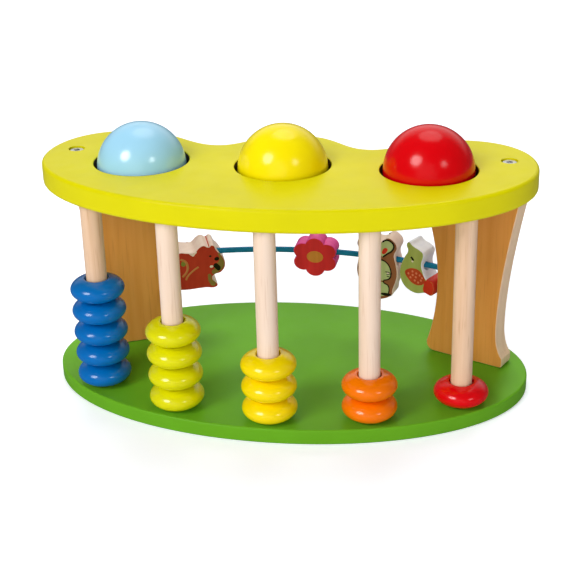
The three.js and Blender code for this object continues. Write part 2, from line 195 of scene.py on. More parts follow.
def gloss_paint(name, tone, rough, shine):
    """A film of one tone of the chart."""
    material, tree, shader = start_material(name)
    colour = chart(*tone)
    film = spread(tree, cloud(tree, FILM_LUMPS), 0, 1)
    tones = two_tones(tree, film, shaded(colour, THIN_FILM), shaded(colour, THICK_FILM))
    tree.links.new(tones, shader.inputs["Base Color"])
    handling = cloud(tree, HANDLING_LUMPS, detail=5)
    tree.links.new(spread(tree, handling, rough, rough * HANDLED), shader.inputs["Roughness"])
    ridges = relief(tree, cloud(tree, RIDGE_LUMPS, ALONG_X, detail=0), RIDGE_DEPTH)
    peel = relief(tree, cloud(tree, PEEL_LUMPS, detail=0), PEEL_DEPTH, ridges)
    tree.links.new(peel, shader.inputs["Normal"])
    shader.inputs["Specular IOR Level"].default_value = shine
    return material


GREEN = gloss_paint("green gloss", (105, 172, 34), rough=0.31, shine=0.1)
LIME = gloss_paint("lime gloss", (222, 213, 0), rough=0.28, shine=0.14)
PALE_BLUE = gloss_paint("pale blue gloss", (166, 221, 248), rough=0.15, shine=0.78)
YELLOW = gloss_paint("yellow gloss", (255, 232, 0), rough=0.15, shine=0.4)
RED = gloss_paint("red gloss", (218, 0, 10), rough=0.15, shine=0.35)
RING_BLUE = gloss_paint("ring blue gloss", (0, 108, 185), rough=0.16, shine=0.48)
RING_LIME = gloss_paint("ring lime gloss", (226, 222, 0), rough=0.16, shine=0.6)
RING_YELLOW = gloss_paint("ring yellow gloss", (255, 223, 0), rough=0.16, shine=0.6)
RING_ORANGE = gloss_paint("ring orange gloss", (251, 121, 0), rough=0.16, shine=0.55)
RING_RED = gloss_paint("ring red gloss", (222, 2, 12), rough=0.16, shine=0.48)
print("gloss paints:", sum("gloss" in m.name for m in bpy.data.materials))

# %% [markdown]
# The rods and the edges of the legs are bare beech: pale, a little pink, with soft long streaks
# and many short dark flecks along the grain. The streaks are noise drawn out along the grain, and
# the flecks are a finer noise of which only the peaks are kept. No two bars of beech are alike, so
# there is a second, browner wood for the two outer rods. The walls of the holes for the balls take
# a very dark brown, which is painted shade for the deep, narrow gap beside each ball.

# %% Bare and stained beech, and painted shade for the ball holes
ALONG_Z = (1, 1, 0.05)
STREAK_LUMPS = 210
FLECK_LUMPS = 900
FLECK_PEAKS = (0.6, 0.72)
PORE_LUMPS, PORE_DEPTH = 800, 0.02
DEEP_ROUGH, PALE_ROUGH = 0.58, 0.5
WOOD_SHINE = 0.3


def beech(name, pale, deep, fleck, flecks):
    """Wood between two tones of the chart, with a share of flecks in a third."""
    material, tree, shader = start_material(name)
    pale, deep, fleck = (chart(*tone) for tone in (pale, deep, fleck))
    streak = spread(tree, cloud(tree, STREAK_LUMPS, ALONG_Z, detail=4), 0, 1)
    wood = two_tones(tree, streak, deep, pale)
    dash = spread(tree, cloud(tree, FLECK_LUMPS, ALONG_Z, detail=1), 0, flecks, *FLECK_PEAKS)
    tree.links.new(two_tones(tree, dash, wood, fleck), shader.inputs["Base Color"])
    tree.links.new(spread(tree, streak, DEEP_ROUGH, PALE_ROUGH, 0, 1), shader.inputs["Roughness"])
    pores = relief(tree, cloud(tree, PORE_LUMPS, ALONG_Z, detail=2), PORE_DEPTH)
    tree.links.new(pores, shader.inputs["Normal"])
    shader.inputs["Specular IOR Level"].default_value = WOOD_SHINE
    return material


ROD_WOOD = beech("bare beech", (246, 222, 201), (239, 211, 186), (219, 183, 152), flecks=0.4)
TAN_WOOD = beech("tan beech", (238, 204, 172), (222, 182, 146), (198, 152, 114), flecks=0.5)
EDGE_WOOD = beech("bare edge", (242, 211, 174), (233, 198, 158), (212, 174, 136), flecks=0.4)
STAIN = beech("brown stain", (232, 161, 79), (220, 147, 65), (194, 121, 52), flecks=0.35)
# Painted shade: a very dark colour for the walls of the ball holes, so the gap beside each ball stays
# dark.
HOLE_SHADE_PAINT = beech("painted hole shade", (66, 48, 24), (52, 38, 20), (38, 28, 16), flecks=0.4)
woods = (ROD_WOOD, TAN_WOOD, EDGE_WOOD, STAIN, HOLE_SHADE_PAINT)
print("woods:", ", ".join(wood.name for wood in woods))

# %% [markdown]
# Three small finishes: teal enamel on the wire, dark rubber for the rings that grip the balls, and
# turned steel for the screws, whose fine lathe marks run round the head. All are made in one way:
# patches of two tones that also differ in gloss, and a fine relief of pits.

# %% Enamel, rubber and steel
ROUND_HEAD = (1, 1, 0.2)
TEAL_TONE = chart(20, 128, 172)
THIN_TEAL = 0.75
RUBBER_TONES = chart(20, 20, 21), chart(44, 43, 42)
STEEL_TONES = chart(208, 209, 212), chart(238, 238, 240)


def mottled(name, tones, lumps, rough, pits, shine=0.5, detail=4, stretch=EVEN, pit_stretch=EVEN):
    """Patches of two tones and two roughnesses, with pits given by their lumps and depth."""
    material, tree, shader = start_material(name)
    patches = spread(tree, cloud(tree, lumps, stretch, detail), 0, 1)
    tree.links.new(two_tones(tree, patches, *tones), shader.inputs["Base Color"])
    tree.links.new(spread(tree, patches, *rough, 0, 1), shader.inputs["Roughness"])
    pit_lumps, depth = pits
    tree.links.new(relief(tree, cloud(tree, pit_lumps, pit_stretch), depth), shader.inputs["Normal"])
    shader.inputs["Specular IOR Level"].default_value = shine
    return material


teal_tones = shaded(TEAL_TONE, THIN_TEAL), TEAL_TONE
TEAL = mottled("teal enamel", teal_tones, lumps=160, rough=(0.17, 0.25), pits=(900, 0.01), shine=0.2)
RUBBER = mottled("dark rubber", RUBBER_TONES, lumps=300, rough=(0.55, 0.75), pits=(1500, 0.02), detail=5)
STEEL = mottled(
    "screw steel", STEEL_TONES, lumps=1400, rough=(0.29, 0.4), pits=(2200, 0.008),
    detail=2, stretch=ROUND_HEAD,
)
STEEL.node_tree.nodes["Principled BSDF"].inputs["Metallic"].default_value = 1.0
print("small finishes:", TEAL.name, RUBBER.name, STEEL.name)

# %% [markdown]
# Rods, rings, balls, screws and the drilled holes are all round, and a lathe makes them: a profile
# of a few points is spun once round the z axis, with its last copy merged into the first.

# %% A lathe
def turn(profile, steps=64):
    """Spins (radius, height) points once round the z axis."""
    shape = bmesh.new()
    points = [shape.verts.new((radius, 0, height)) for radius, height in profile]
    edges = [shape.edges.new(pair) for pair in zip(points, points[1:])]
    full = 2 * math.pi
    sweep = points + edges
    bmesh.ops.spin(shape, geom=sweep, axis=(0, 0, 1), angle=full, steps=steps, use_merge=True)
    bmesh.ops.remove_doubles(shape, verts=shape.verts, dist=WELD)
    bmesh.ops.recalc_face_normals(shape, faces=shape.faces)
    return shape


pin = turn([(0, 0), (1, 0), (1, 2), (0, 2)])
print("a turned test pin has", len(pin.faces), "faces")
pin.free()

# %% [markdown]
# Holes are cut with an exact boolean, as a drill takes the wood away. The boolean lives on
# throw-away objects, and its result comes back as a bmesh, with the slivers that the cut leaves in
# flat faces joined again.

# %% A drill
SLIVER_TURN = math.radians(0.2)


def gather(shapes):
    """Puts several shapes into one."""
    together = bmesh.new()
    for shape in shapes:
        mesh = bpy.data.meshes.new("gathered")
        shape.to_mesh(mesh)
        shape.free()
        together.from_mesh(mesh)
        bpy.data.meshes.remove(mesh)
    return together


def moved(shape, spot):
    bmesh.ops.translate(shape, vec=spot, verts=shape.verts)
    return shape


def carve(blank, tools):
    """Takes the tools' shapes out of the blank."""
    solids = []
    for label, shape in (("blank", blank), ("tools", gather(tools))):
        mesh = bpy.data.meshes.new(label)
        shape.to_mesh(mesh)
        shape.free()
        solids.append(bpy.data.objects.new(label, mesh))
        bpy.context.scene.collection.objects.link(solids[-1])
    cut = solids[0].modifiers.new("cut", "BOOLEAN")
    cut.operation = "DIFFERENCE"
    cut.solver = "EXACT"
    cut.object = solids[1]
    carved = bmesh.new()
    carved.from_object(solids[0], bpy.context.evaluated_depsgraph_get())
    for solid in solids:
        mesh = solid.data
        bpy.data.objects.remove(solid)
        bpy.data.meshes.remove(mesh)
    seams = {"MATERIAL"}
    bmesh.ops.dissolve_limit(
        carved, angle_limit=SLIVER_TURN, verts=carved.verts, edges=carved.edges, delimit=seams
    )
    return carved


print("faces within", round(math.degrees(SLIVER_TURN), 2), "degrees of each other are joined")

# %% [markdown]
# The boards are drilled for the rods and for the screws of the legs. A rod stands in a blind hole.
# A screw needs a bore for its shank and a recess for its head, and under the base the head points
# down, so both are made once and turned over where needed.

# %% Holes for rods and screws
FIT = 0.3
ROD_NODES = [f"post_{i}" for i in range(1, 6)]
ROD_RADIUS = 5.9
BORE_FACETS = 32
HEAD_RADIUS = 4.2
HEAD_HEIGHT = 2.8
HEAD_SINK = 0.8
HEAD_PLAY = 0.6
SHANK_RADIUS = 2.0
SCREWS = (1, 2, 3, 4)


def socket(node, depth, end):
    """A blind hole that takes one end of a rod."""
    low, high = box_mm(node)
    spot = middle_of(node)
    radius = ROD_RADIUS + FIT
    height = low.z - FIT if end == "low" else high.z + FIT - depth
    drill = turn([(0, 0), (radius, 0), (radius, depth), (0, depth)])
    return moved(drill, (spot.x, spot.y, height))


def seated(shape, node, upwards):
    """Puts a screw or its hole in place, turned over where the head points down."""
    low, high = box_mm(node)
    spot = middle_of(node)
    seat = high.z - HEAD_HEIGHT if upwards else low.z + HEAD_HEIGHT
    if not upwards:
        bmesh.ops.rotate(shape, matrix=Matrix.Rotation(math.pi, 3, "X"), verts=shape.verts)
    return moved(shape, (spot.x, spot.y, seat))


def screw_hole(node, upwards):
    """A recess for a screw's head and a bore for its shank."""
    low, high = box_mm(node)
    wide, narrow = HEAD_RADIUS + HEAD_PLAY, SHANK_RADIUS + FIT
    deep = high.z - low.z - HEAD_HEIGHT
    rise = HEAD_HEIGHT + HEAD_SINK * 2
    line = [(0, -deep), (narrow, -deep), (narrow, -FIT), (wide, -FIT), (wide, rise), (0, rise)]
    return seated(turn(line, BORE_FACETS), node, upwards)


print("holes for", len(ROD_NODES), "rods and", 2 * len(SCREWS), "screws")

# %% [markdown]
# The base is an oval board. It starts as a filled circle that is scaled to the oval and extruded
# to the board's thickness. Its two rims are then bevelled in a few steps, as a sander breaks the
# edges. The rods' sockets are drilled from above, and the leg screws come in from below.

# %% Base board
BASE_FACETS = 224
BASE_EDGE = 1.2
BASE_EDGE_STEPS = 5


def oval_plate(across, up, thickness, facets):
    """A flat oval from z = 0 up."""
    plate = bmesh.new()
    bmesh.ops.create_circle(plate, cap_ends=True, radius=1, segments=facets)
    bmesh.ops.scale(plate, vec=(across, up, 1), verts=plate.verts)
    raised = bmesh.ops.extrude_face_region(plate, geom=plate.faces[:])
    upper = [item for item in raised["geom"] if isinstance(item, bmesh.types.BMVert)]
    bmesh.ops.translate(plate, vec=(0, 0, thickness), verts=upper)
    bmesh.ops.recalc_face_normals(plate, faces=plate.faces)
    return plate


base_low, base_high = box_mm("base_board")
base_thickness = base_high.z - base_low.z
board = oval_plate(base_high.x, base_high.y, base_thickness, BASE_FACETS)
rims = [edge for edge in board.edges if abs(edge.verts[0].co.z - edge.verts[1].co.z) < WELD]
bmesh.ops.bevel(
    board, geom=rims, affect="EDGES", offset=BASE_EDGE, segments=BASE_EDGE_STEPS, profile=0.5,
    material=-1,
)
drills = [socket(node, base_thickness, "low") for node in ROD_NODES]
drills += [screw_hole(f"screw_base_{i}", upwards=False) for i in SCREWS]
base = keep_piece("oval_base", carve(board, drills), "base_board", [GREEN])
print("base:", len(base.data.polygons), "faces,", round(base_thickness, 2), "mm thick")

# %% [markdown]
# The other boards are sawn along a drawn line. A flat curve is that line: filled, extruded to the
# thickness, and given a round edge, it is the board. The curve becomes a mesh before anything else
# is done to it. A knot of the line is a point with its two handles, or a bare point whose handles
# are found by themselves.

# %% A saw that follows a curve
ROUND_ARM = 0.5523


def oval(x, y, across, up):
    """The four knots of a circle or an ellipse."""
    a, b = across * ROUND_ARM, up * ROUND_ARM
    return [
        ((x + across, y), (x + across, y - b), (x + across, y + b)),
        ((x, y + up), (x + a, y + up), (x - a, y + up)),
        ((x - across, y), (x - across, y + b), (x - across, y - b)),
        ((x, y - up), (x - a, y - up), (x + a, y - up)),
    ]


def mesh_of_curve(curve):
    """Makes a mesh in the making of a curve, and removes the curve."""
    carrier = bpy.data.objects.new("line", curve)
    bpy.context.scene.collection.objects.link(carrier)
    view = bpy.context.evaluated_depsgraph_get()
    mesh = bpy.data.meshes.new_from_object(carrier.evaluated_get(view))
    shape = bmesh.new()
    shape.from_mesh(mesh)
    bpy.data.objects.remove(carrier)
    bpy.data.curves.remove(curve)
    bpy.data.meshes.remove(mesh)
    bmesh.ops.remove_doubles(shape, verts=shape.verts, dist=WELD)
    bmesh.ops.dissolve_degenerate(shape, edges=shape.edges, dist=WELD)
    bmesh.ops.recalc_face_normals(shape, faces=shape.faces)
    return shape


def draw_spline(curve, knots, closed=True):
    spline = curve.splines.new("BEZIER")
    spline.use_cyclic_u = closed
    spline.bezier_points.add(len(knots) - 1)
    for point, knot in zip(spline.bezier_points, knots):
        drawn = isinstance(knot[0], tuple)
        point.co = (*(knot[0] if drawn else knot), 0)
        kind = "FREE" if drawn else "AUTO"
        point.handle_left_type = kind
        point.handle_right_type = kind
        if drawn:
            point.handle_left = (*knot[1], 0)
            point.handle_right = (*knot[2], 0)


def saw(knots, thickness, steps, edge=0.0, edge_steps=3):
    """A board from z = 0 up, sawn along a closed line, with its edges rounded."""
    curve = bpy.data.curves.new("line", "CURVE")
    curve.dimensions = "2D"
    curve.fill_mode = "BOTH"
    curve.resolution_u = steps
    curve.extrude = thickness / 2 - edge
    curve.bevel_depth = edge
    curve.bevel_resolution = edge_steps
    curve.offset = -edge
    draw_spline(curve, knots)
    return moved(mesh_of_curve(curve), (0, 0, thickness / 2))


print("a circle has", len(oval(0, 0, 1, 1)), "knots")

# %% [markdown]
# The holes for the balls have only a fine chamfer, and their walls are painted very dark as shade
# for the narrow gap. A drill that is wider at both ends makes the hole and the chamfer in one go.
# Each hole has a groove for a rubber ring, cut by spinning a small rectangle.

# %% Ball holes
BALLS = ("blue", "yellow", "red")
HOLE_RADIUS = 27.1
HOLE_FACETS = 128
HOLE_CHAMFER = 0.4
STEEP = 0.5
GROOVE_RADIUS = 28.7
GROOVE_HALF = 2.0
top_low, top_high = box_mm("top_board")


def paint_hole_shade(drill):
    """Gives the upright walls that a drill leaves the second material, which is painted shade."""
    drill.normal_update()
    for face in drill.faces:
        face.material_index = 1 if abs(face.normal.z) < STEEP else 0
    return drill


def ball_hole(colour):
    """A drill that is wider at both ends, where it chamfers the rims."""
    spot = middle_of(f"ring_{colour}")
    past = 1.0
    wide = HOLE_RADIUS + HOLE_CHAMFER + past
    low, high = top_low.z - past, top_high.z + past
    line = [
        (0, low), (wide, low), (HOLE_RADIUS, top_low.z + HOLE_CHAMFER),
        (HOLE_RADIUS, top_high.z - HOLE_CHAMFER), (wide, high), (0, high),
    ]
    return moved(paint_hole_shade(turn(line, HOLE_FACETS)), (spot.x, spot.y, 0))


def ring_groove(colour):
    inner = HOLE_RADIUS - GROOVE_HALF
    line = [(inner, -GROOVE_HALF), (GROOVE_RADIUS, -GROOVE_HALF), (GROOVE_RADIUS, GROOVE_HALF)]
    line += [(inner, GROOVE_HALF), (inner, -GROOVE_HALF)]
    return moved(paint_hole_shade(turn(line, HOLE_FACETS)), middle_of(f"ring_{colour}"))


print("ball holes:", len(BALLS), "of", 2 * HOLE_RADIUS, "mm")

# %% [markdown]
# The top board is half an oval in front and three soft lobes behind. The line is drawn for the
# right half and mirrored, and the board's rim is well rounded. The holes for the balls are drilled
# after that, so their rims stay crisp. The rods and screws get their holes as before.

# %% Top board
TOP_EDGE = 2.2
SHOULDER = 1.5
LOBE = (97.8, 46.5)
LOBE_ARM = 25.8
DIP = (44.8, 24.3)
DIP_ARM = 16.0
SOCKET_DEPTH = 6.0

top_thickness = top_high.z - top_low.z
half, front = top_high.x, top_low.y
arm_x, arm_y = half * ROUND_ARM, (front - SHOULDER) * ROUND_ARM
right_half = [
    ((0, front), (-arm_x, front), (arm_x, front)),
    ((half, SHOULDER), (half, SHOULDER + arm_y), (half, SHOULDER + LOBE_ARM)),
    (LOBE, (LOBE[0] + LOBE_ARM, LOBE[1]), (LOBE[0] - LOBE_ARM, LOBE[1])),
    (DIP, (DIP[0] + DIP_ARM, DIP[1]), (DIP[0] - DIP_ARM, DIP[1])),
    ((0, LOBE[1]), (LOBE_ARM, LOBE[1]), (-LOBE_ARM, LOBE[1])),
]


def mirrored(knots):
    """The same line on the other side, run backwards, without the two knots on the middle."""
    return [tuple((-x, y) for x, y in (k[0], k[2], k[1])) for k in reversed(knots[1:-1])]


outline = right_half + mirrored(right_half)
board = saw(outline, top_thickness, steps=32, edge=TOP_EDGE, edge_steps=4)
board = carve(moved(board, (0, 0, top_low.z)), [ball_hole(colour) for colour in BALLS])
drills = [socket(node, SOCKET_DEPTH * 2, "high") for node in ROD_NODES]
drills += [screw_hole(f"screw_top_{i}", upwards=True) for i in SCREWS]
drills += [ring_groove(colour) for colour in BALLS]
# The top board's second material is painted shade on the walls of the ball holes and their grooves.
top = keep_piece("lobed_top", carve(board, drills), "top_board", [LIME, HOLE_SHADE_PAINT])
print("top:", len(top.data.polygons), "faces,", round(top_thickness, 2), "mm thick")

# %% [markdown]
# The wire is one steel rod, bent to a wide arc that meets the turned legs square. A circle is swept
# along that arc with a partial spin, and its two ends are closed. The same bar, a little thicker,
# is the drill for the wire's holes in the legs and in the figures.

# %% A bar on the wire's arc
TOE = math.radians(24.2)
LEG_SHIFT = 2.3
WIRE_CENTRE = Vector((LEG_SHIFT, -163.76, 61.85))
WIRE_BEND = 209.1
WIRE_RADIUS = 1.75
WIRE_BITE = 8.0
WIRE_REACH = TOE + WIRE_BITE / WIRE_BEND
WIRE_STEPS = 120


def wire_tube(radius, reach, facets):
    """A round bar bent to the wire's arc, closed at both ends."""
    tube = bmesh.new()
    ring = bmesh.ops.create_circle(tube, cap_ends=False, radius=radius, segments=facets)["verts"]
    upright = Matrix.Rotation(math.pi / 2, 3, "Y")
    bmesh.ops.rotate(tube, matrix=upright, verts=ring)
    bmesh.ops.translate(tube, vec=WIRE_CENTRE + Vector((0, WIRE_BEND, 0)), verts=ring)
    bmesh.ops.rotate(tube, cent=WIRE_CENTRE, matrix=Matrix.Rotation(reach, 3, "Z"), verts=ring)
    sweep = ring + tube.edges[:]
    bmesh.ops.spin(
        tube, geom=sweep, cent=WIRE_CENTRE, axis=(0, 0, 1), angle=-2 * reach, steps=WIRE_STEPS
    )
    ends = [edge for edge in tube.edges if edge.is_boundary]
    bmesh.ops.holes_fill(tube, edges=ends, sides=0)
    bmesh.ops.recalc_face_normals(tube, faces=tube.faces)
    return tube


print("wire:", round(2 * WIRE_REACH * WIRE_BEND), "mm long")

# %% [markdown]
# A leg is a waisted panel with a broad head and a foot. Its line is a chain of soft bends: each
# bend runs from one point to the next and leans on a corner between them.

# %% Line of a leg
LEG_HEIGHT = 112.4
LEG_CORNER = 6.0
LEG_TIP = 2.0
FRONT_FOOT, REAR_FOOT = 24.0, 25.9
FRONT_HEAD, REAR_HEAD = 32.0, 34.6
WAIST = 19.5
FRONT_WAIST, REAR_WAIST = 23.0, 48.0
LEG_BEND = 0.35
SOFT_ARM = 2 / 3


def soft_line(stops):
    """Knots of a line of soft bends: each stop is a point and the corner that the bend leans on."""
    knots = []
    for i, (point, _) in enumerate(stops):
        handles = []
        for corner in (stops[i - 1][1], stops[i][1]):
            lean = point if corner is None else corner
            handles.append(tuple(p + (c - p) * SOFT_ARM for p, c in zip(point, lean)))
        knots.append((point, *handles))
    return knots


def leg_line():
    front_bend = FRONT_WAIST + (LEG_HEIGHT - FRONT_WAIST) * LEG_BEND
    rear_bend = REAR_WAIST + (LEG_HEIGHT - REAR_WAIST) * LEG_BEND
    return soft_line([
        ((-REAR_FOOT + LEG_CORNER, 0), None),
        ((FRONT_FOOT - LEG_TIP, 0), (FRONT_FOOT, 0)),
        ((FRONT_FOOT, LEG_TIP), None),
        ((FRONT_FOOT, LEG_CORNER), (WAIST, FRONT_WAIST / 2)),
        ((WAIST, FRONT_WAIST), (WAIST, front_bend)),
        ((FRONT_HEAD, LEG_HEIGHT), None),
        ((-REAR_HEAD, LEG_HEIGHT), (-WAIST, rear_bend)),
        ((-WAIST, REAR_WAIST), (-WAIST, REAR_WAIST / 2)),
        ((-REAR_FOOT, LEG_CORNER), (-REAR_FOOT, 0)),
    ])


print("a leg's line has", len(leg_line()), "knots")

# %% [markdown]
# Each leg stands across the end of the toy and is turned towards the front. Its faces are stained
# brown and its sawn edges are left bare, so the panel has two materials, and the direction in which
# a face points says which one it takes.

# %% Legs
FLAT_FACE = 0.8
LEG_THICKNESS = 12.4
LEG_EDGE = 0.8
LEG_OUT, LEG_ROW = 103.5, 18.97
DRILL_FACETS = 24


def in_paint(shape, number):
    """Gives all faces of a shape one of its piece's materials."""
    for face in shape.faces:
        face.material_index = number
    return shape


def leg_panel(side):
    panel = saw(leg_line(), LEG_THICKNESS, steps=16, edge=LEG_EDGE, edge_steps=2)
    panel.normal_update()
    for face in panel.faces:
        face.material_index = 0 if abs(face.normal.z) > FLAT_FACE else 1
    facing = -TOE if side > 0 else math.pi + TOE
    spot = (LEG_SHIFT + side * LEG_OUT, LEG_ROW, base_high.z + FIT)
    place = Matrix.Translation(spot) @ Matrix.Rotation(facing, 4, "Z")
    place = place @ Matrix.Rotation(math.pi / 2, 4, "X")
    place = place @ Matrix.Translation((0, 0, -LEG_THICKNESS / 2))
    bmesh.ops.transform(panel, matrix=place, verts=panel.verts)
    drills = [wire_tube(WIRE_RADIUS + FIT, WIRE_REACH + FIT / WIRE_BEND, DRILL_FACETS)]
    for number in SCREWS[2:] if side > 0 else SCREWS[:2]:
        drills.append(screw_hole(f"screw_top_{number}", upwards=True))
        drills.append(screw_hole(f"screw_base_{number}", upwards=False))
    return carve(panel, [in_paint(drill, 1) for drill in drills])


for word, side in (("left", -1), ("right", 1)):
    leg = keep_piece(f"{word}_leg_panel", leg_panel(side), f"leg_{word}", [STAIN, EDGE_WOOD])
    print(leg.name, len(leg.data.polygons), "faces")

# %% [markdown]
# The rods are turned from beech dowel: a straight bar whose ends are broken with a small chamfer,
# so that they find their sockets.

# %% Rods
ROD_CHAMFER = 0.8
ROD_FACETS = 48
for i, node in enumerate(ROD_NODES, start=1):
    low, high = box_mm(node)
    spot = middle_of(node)
    tip = ROD_RADIUS - ROD_CHAMFER
    line = [
        (0, low.z), (tip, low.z), (ROD_RADIUS, low.z + ROD_CHAMFER),
        (ROD_RADIUS, high.z - ROD_CHAMFER), (tip, high.z), (0, high.z),
    ]
    wood = TAN_WOOD if node in (ROD_NODES[0], ROD_NODES[-1]) else ROD_WOOD
    rod = moved(turn(line, ROD_FACETS), (spot.x, spot.y, 0))
    keep_piece(f"beech_rod_{i}", rod, node, [wood])
print("rods:", i, "of", round(high.z - low.z, 1), "mm")

# %% [markdown]
# A counting ring is turned as a flattened ball with a hole, and the edge of the hole is rounded
# so that it slides easily. Its profile is one long belly curve, a small round lip and the straight
# wall of the hole.

# %% Counting rings
STACKS = {
    "blue": (5, RING_BLUE), "lime": (4, RING_LIME), "yellow": (3, RING_YELLOW),
    "orange": (2, RING_ORANGE), "red": (1, RING_RED),
}
RING_HOLE = 6.7
RING_CORE = 3.6
BELLY_STEPS = 28
RING_FACETS = 72
LIP = 0.7
LIP_BEND = (0.3, 0.25)


def counting_ring(radius, height):
    belly = radius - RING_CORE
    half = height / 2
    end = math.acos((RING_HOLE + LIP - RING_CORE) / belly)
    line = []
    for i in range(BELLY_STEPS + 1):
        angle = end * (2 * i / BELLY_STEPS - 1)
        line.append((RING_CORE + belly * math.cos(angle), half * math.sin(angle) / math.sin(end)))
    across, down = LIP_BEND
    lips = [(RING_HOLE + LIP * across, half - LIP * down), (RING_HOLE, half - LIP)]
    line += lips
    line += [(r, -z) for r, z in reversed(lips)]
    line.append(line[0])
    return turn(line, RING_FACETS)


for colour, (count, finish) in STACKS.items():
    for i in range(1, count + 1):
        node = f"bead_{colour}_{i}"
        low, high = box_mm(node)
        shape = moved(counting_ring((high.y - low.y) / 2, high.z - low.z), middle_of(node))
        keep_piece(f"counting_ring_{colour}_{i}", shape, node, [finish], flat_faces=False)
print("counting rings:", sum(count for count, _ in STACKS.values()))

# %% [markdown]
# The balls are turned too. A half circle is spun about the axis, and it starts at a tiny flat
# underneath, where the ball was parted from its bar. Each sits in a rubber ring, a circle spun
# round the hole.

# %% Balls and their rubber rings
PARTING = 0.06
BALL_STEPS = 48
BALL_FACETS = 96
RUBBER_FACETS = 20
BALL_PAINTS = {"blue": PALE_BLUE, "yellow": YELLOW, "red": RED}


def turned_ball(radius):
    line = [(0, -radius * math.cos(PARTING))]
    for i in range(BALL_STEPS + 1):
        angle = PARTING + (math.pi - PARTING) * i / BALL_STEPS
        line.append((radius * math.sin(angle), -radius * math.cos(angle)))
    return turn(line, BALL_FACETS)


def rubber_ring(node):
    low, high = box_mm(node)
    tube = (high.z - low.z) / 2
    reach = (high.x - low.x) / 2 - tube
    ring = bmesh.new()
    circle = bmesh.ops.create_circle(ring, cap_ends=False, radius=tube, segments=RUBBER_FACETS)
    section = circle["verts"]
    bmesh.ops.rotate(ring, matrix=Matrix.Rotation(math.pi / 2, 3, "X"), verts=section)
    bmesh.ops.translate(ring, vec=(reach, 0, 0), verts=section)
    sweep = section + ring.edges[:]
    full = 2 * math.pi
    bmesh.ops.spin(ring, geom=sweep, axis=(0, 0, 1), angle=full, steps=BALL_FACETS, use_merge=True)
    return moved(ring, middle_of(node))


for colour, finish in BALL_PAINTS.items():
    low, high = box_mm(f"ball_{colour}")
    ball = moved(turned_ball((high.z - low.z) / 2), middle_of(f"ball_{colour}"))
    keep_piece(f"wooden_ball_{colour}", ball, f"ball_{colour}", [finish], flat_faces=False)
    ring = rubber_ring(f"ring_{colour}")
    keep_piece(f"rubber_ring_{colour}", ring, f"ring_{colour}", [RUBBER], flat_faces=False)
print("balls of", round(high.z - low.z, 1), "mm")

# %% [markdown]
# The wire is the bar from before, dipped in teal enamel.

# %% Bowed wire
WIRE_FACETS = 20
wire = keep_piece("bowed_wire", wire_tube(WIRE_RADIUS, WIRE_REACH, WIRE_FACETS), "wire", [TEAL])
print(wire.name, len(wire.data.polygons), "faces")

# %% [markdown]
# Four flat figures are sawn from a thick slat and slide along the wire. Their two faces are painted
# by hand in satin paint, and their sides in a second colour, which is mostly paler. A brush leaves
# streaks along the grain, so each paint goes between two near tones.

# %% Paint for the figures
BRUSH = (1, 1, 0.1)


def brushed_paint(name, tone, deeper):
    """Two near tones of the chart, brushed out along the grain."""
    tones = chart(*deeper), chart(*tone)
    return mottled(
        name, tones, lumps=260, rough=(0.38, 0.5), pits=(900, 0.015), shine=0.2,
        stretch=BRUSH, pit_stretch=BRUSH,
    )


RUSSET = brushed_paint("russet", (204, 62, 44), (188, 52, 38))
CREAM_PINK = brushed_paint("cream pink", (250, 228, 216), (242, 214, 202))
POPPY = brushed_paint("poppy", (230, 52, 54), (214, 42, 48))
MAGENTA = brushed_paint("magenta", (244, 92, 172), (230, 66, 150))
# Partly painted shade: this darker crimson goes on the flower's sides deep in the valleys between
# petals.
VALLEY_CRIMSON_AND_SHADE = brushed_paint("crimson and valley shade", (206, 30, 84), (188, 22, 70))
BROWN = brushed_paint("brown", (156, 98, 64), (136, 82, 50))
PALE_SIDE = brushed_paint("pale side", (248, 222, 206), (240, 210, 192))
OLIVE = brushed_paint("olive", (180, 190, 104), (166, 176, 88))
PALE_OLIVE = brushed_paint("pale olive", (190, 200, 142), (176, 188, 126))
LAVENDER = brushed_paint("lavender white", (246, 246, 252), (236, 236, 246))
BLACK = brushed_paint("black", (26, 20, 16), (14, 11, 9))
KHAKI = brushed_paint("khaki", (150, 124, 64), (134, 110, 52))
MOSS = brushed_paint("moss", (150, 150, 66), (132, 134, 56))
OCHRE = brushed_paint("ochre", (224, 146, 62), (204, 126, 48))
RUST = brushed_paint("rust", (206, 76, 42), (190, 64, 34))
FLAME = brushed_paint("flame red", (226, 60, 38), (208, 50, 32))
PALE_RUST = brushed_paint("pale rust", (232, 140, 104), (220, 124, 90))
TAN = brushed_paint("tan", (212, 138, 84), (196, 122, 70))
CREAM = brushed_paint("cream", (246, 230, 210), (238, 218, 196))
print("finishes so far:", len(bpy.data.materials))

# %% [markdown]
# The painted marks are thin islands of paint on the front: closed shapes that stand a few
# hundredths of a millimetre proud, so that a figure and its marks are one piece with several
# materials. The back gets the same marks, mirrored through the slat.

# %% Painted marks
FIGURE_THICKNESS = 13.0
FIGURE_FRONT = 4.5
FIGURE_EDGE = 0.7
FIGURE_MIDDLE = FIGURE_FRONT - FIGURE_THICKNESS / 2
PROUD = 0.04
ROOT = 0.1
OVER = 2
MARK_STEPS = 8
STROKE_STEPS = 3
CREASE_FACETS = 12


def island(knots, paint, layer=1):
    """A thin closed patch of paint on the front, higher for each layer."""
    patch = saw(knots, ROOT + PROUD * layer, MARK_STEPS)
    return moved(patch, (0, 0, FIGURE_FRONT - ROOT)), paint


def brush_line(points, paint, width, layer=1):
    """A painted line: a round bead of paint that is pressed nearly flat."""
    curve = bpy.data.curves.new("stroke", "CURVE")
    curve.dimensions = "3D"
    curve.resolution_u = MARK_STEPS
    curve.bevel_depth = width / 2
    curve.bevel_resolution = STROKE_STEPS
    curve.use_fill_caps = True
    draw_spline(curve, points, closed=False)
    stroke = mesh_of_curve(curve)
    flat = 2 * (PROUD * layer + PROUD) / width
    bmesh.ops.scale(stroke, vec=(1, 1, flat), verts=stroke.verts)
    return moved(stroke, (0, 0, FIGURE_FRONT)), paint


